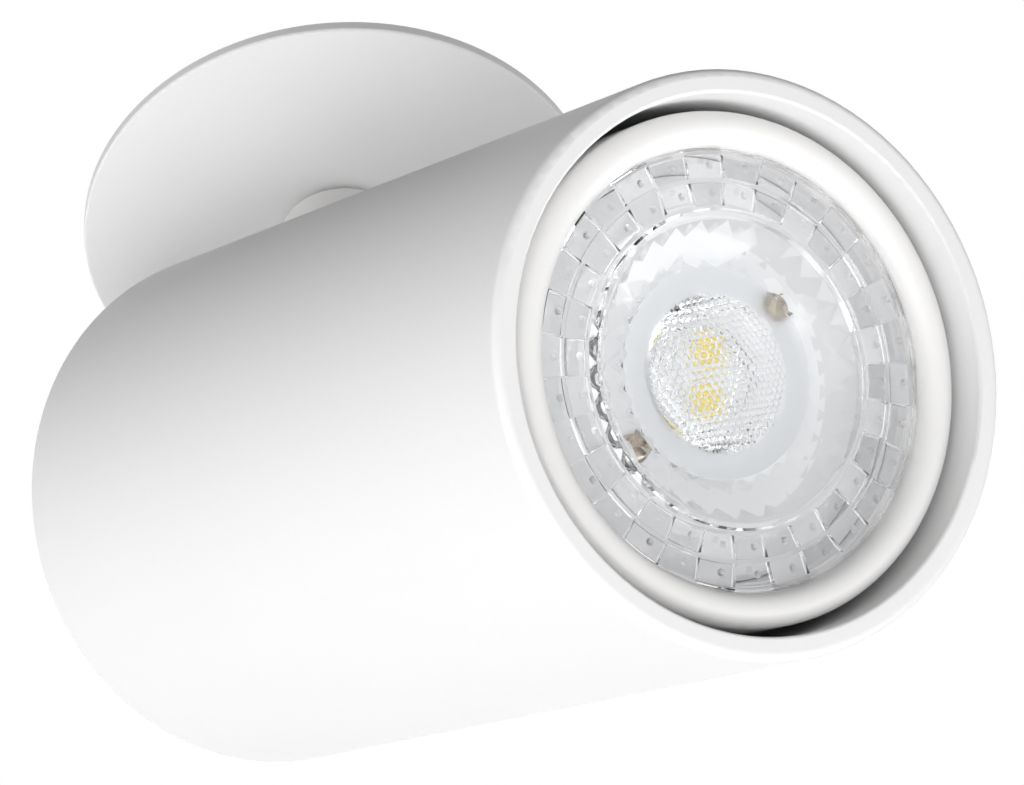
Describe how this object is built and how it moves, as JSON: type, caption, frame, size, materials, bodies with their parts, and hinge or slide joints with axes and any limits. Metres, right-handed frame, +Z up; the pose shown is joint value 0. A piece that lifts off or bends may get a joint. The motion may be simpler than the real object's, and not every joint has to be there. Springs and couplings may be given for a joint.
{
  "type": "recessed tube spotlight",
  "caption": "Tube-shaped ceiling spotlight that tilts and swivels on a short stem under a round recess-mounted plate, with a clear-lensed twist-in reflector lamp.",
  "frame": {"origin": "centre of the ceiling plate's back face, on the stem's swivel axis, in the plane of the ceiling", "axes": "+Z up into the ceiling along the swivel axis; the head's front end leans towards +X; Y is the tilt pivot's direction"},
  "size_m": [0.1141, 0.058, 0.125],
  "materials": {
    "white_plate": "satin white powder coat",
    "white_tube": "fine matt white powder coat",
    "white_stem": "satin white coat",
    "zinc_steel": "zinc-plated pressed steel",
    "bright_steel": "bright plated fastener",
    "spring_steel": "spring steel",
    "white_fibre": "fibre washer",
    "grommet_rubber": "black rubber",
    "lamp_shell": "warm white satin plastic",
    "lens_clear": "clear moulded lens",
    "board_white": "white coated board",
    "chip_yellow": "yellow phosphor",
    "screw_nickel": "nickel plated",
    "driver_green": "circuit board",
    "driver_black": "component bodies",
    "base_white": "heat-resistant plastic",
    "steatite": "unglazed steatite",
    "contact_brass": "plain brass strip",
    "nylon_washer": "natural nylon"
  },
  "bodies": {
    "recess_base": {"ceiling_plate": "white_plate", "recess_housing": "zinc_steel", "clip_bracket": "zinc_steel", "clip_pins": "bright_steel", "clip_spring_left": "spring_steel", "clip_spring_right": "spring_steel", "stem_washer": "white_fibre", "disc_spring": "spring_steel", "stop_pin": "bright_steel"},
    "left_clip": {"clip_arm_left": "zinc_steel"},
    "right_clip": {"clip_arm_right": "zinc_steel"},
    "stem": {"swivel_stem": "white_stem", "stop_washer": "zinc_steel", "earth_tag": "contact_brass", "lock_nut": "bright_steel", "stem_grommet": "grommet_rubber"},
    "head": {"head_tube": "white_tube", "rear_cap": "white_tube", "cap_screws": "bright_steel", "holder_bracket": "zinc_steel", "bracket_screws": "bright_steel", "pivot_screw": "bright_steel", "pivot_nut": "bright_steel", "friction_washers": "nylon_washer", "lampholder_body": "steatite", "lampholder_cover": "steatite", "holder_contacts": "contact_brass", "holder_screws": "bright_steel"},
    "lamp": {"lamp_housing": "lamp_shell", "lamp_lens": "lens_clear", "led_board": "board_white", "led_chips": "chip_yellow", "board_screws": "screw_nickel", "driver_board": "driver_green", "driver_components": "driver_black", "lamp_base": "base_white", "lamp_pins": "screw_nickel"}
  },
  "joints": [
    {"name": "stem_swivel", "type": "hinge", "parent": "recess_base", "child": "stem", "pos_m": [0, 0, 0], "axis": [0, 0, 1], "range_deg": [-165, 165]},
    {"name": "head_tilt", "type": "hinge", "parent": "stem", "child": "head", "pos_m": [0, 0, -0.0418], "axis": [0, -1, 0], "range_deg": [-56, 34]},
    {"name": "lamp_twist", "type": "hinge", "parent": "head", "child": "lamp", "pos_m": [0.06384, 0, -0.08486], "axis": [0.829, 0, -0.5592], "range_deg": [0, 28]},
    {"name": "clip_left_hinge", "type": "hinge", "parent": "recess_base", "child": "left_clip", "pos_m": [0, 0.0117, 0.0145], "axis": [1, 0, 0], "range_deg": [0, 115], "stiffness_Nm_per_rad": 0.02, "springref_deg": -45.84, "deforming": ["clip_spring_left"]},
    {"name": "clip_right_hinge", "type": "hinge", "parent": "recess_base", "child": "right_clip", "pos_m": [0, -0.0117, 0.0145], "axis": [-1, 0, 0], "range_deg": [0, 115], "stiffness_Nm_per_rad": 0.02, "springref_deg": -45.84, "deforming": ["clip_spring_right"]}
  ]
}
